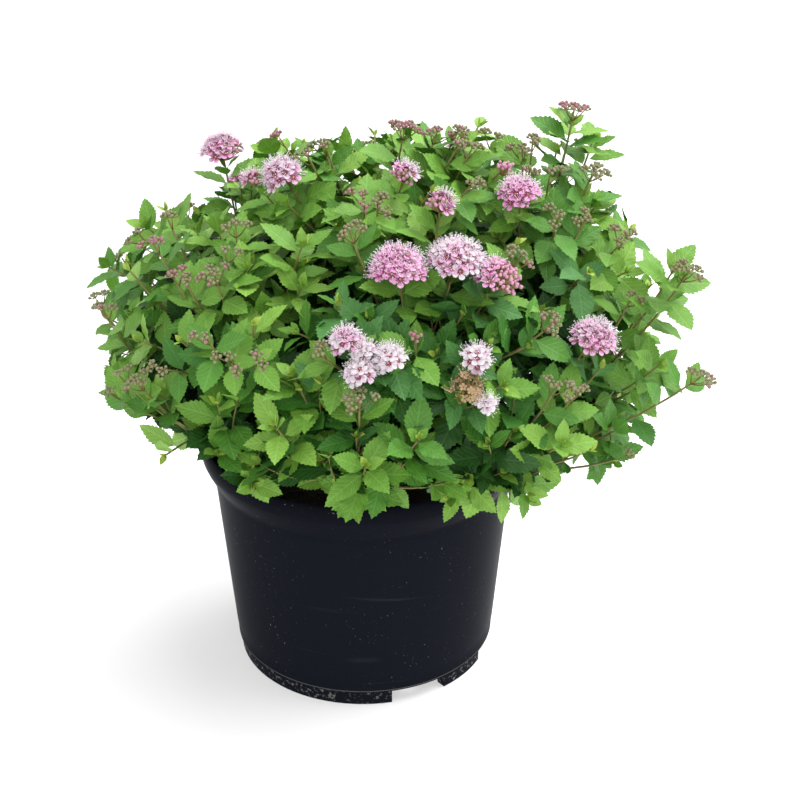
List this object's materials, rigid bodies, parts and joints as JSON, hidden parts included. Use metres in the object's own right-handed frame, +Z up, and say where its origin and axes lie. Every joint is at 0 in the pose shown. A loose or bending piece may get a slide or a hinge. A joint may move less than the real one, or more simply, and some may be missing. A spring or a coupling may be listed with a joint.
{
  "type": "potted spirea shrub",
  "caption": "Low rounded dwarf spirea in leaf and flower, with pink and white flower heads, in a black round nursery pot with a rolled collar.",
  "frame": {"origin": "on the ground at the middle of the shrub's outer box, which is also the axis of the pot", "axes": "+Z up along the pot's axis, +X to the right along the shrub's longest extent, -Y to the front"},
  "size_m": [0.3566, 0.3125, 0.3361],
  "materials": {
    "pot": "satin black plastic",
    "potting_mix": "loose fibrous mix",
    "bark": "thin brown bark",
    "foliage": "soft matte leaf"
  },
  "bodies": {
    "root": {"pot": "pot", "potting_mix": "potting_mix", "stool": "bark", "stem_lower_1": "bark", "stem_lower_2": "bark", "stem_lower_3": "bark", "stem_lower_4": "bark", "stem_lower_5": "bark", "stem_lower_6": "bark", "stem_lower_7": "bark", "stem_lower_8": "bark", "stem_lower_9": "bark", "stem_middle_1": "bark", "stem_middle_2": "bark", "stem_middle_3": "bark", "stem_middle_4": "bark", "stem_middle_5": "bark", "stem_top_1": "bark", "foliage_lower_1": "foliage", "foliage_lower_2": "foliage", "foliage_lower_3": "foliage", "foliage_lower_4": "foliage", "foliage_lower_5": "foliage", "foliage_lower_6": "foliage", "foliage_lower_7": "foliage", "foliage_lower_8": "foliage", "foliage_lower_9": "foliage", "foliage_middle_1": "foliage", "foliage_middle_2": "foliage", "foliage_middle_3": "foliage", "foliage_middle_4": "foliage", "foliage_middle_5": "foliage", "foliage_top_1": "foliage"}
  },
  "joints": []
}
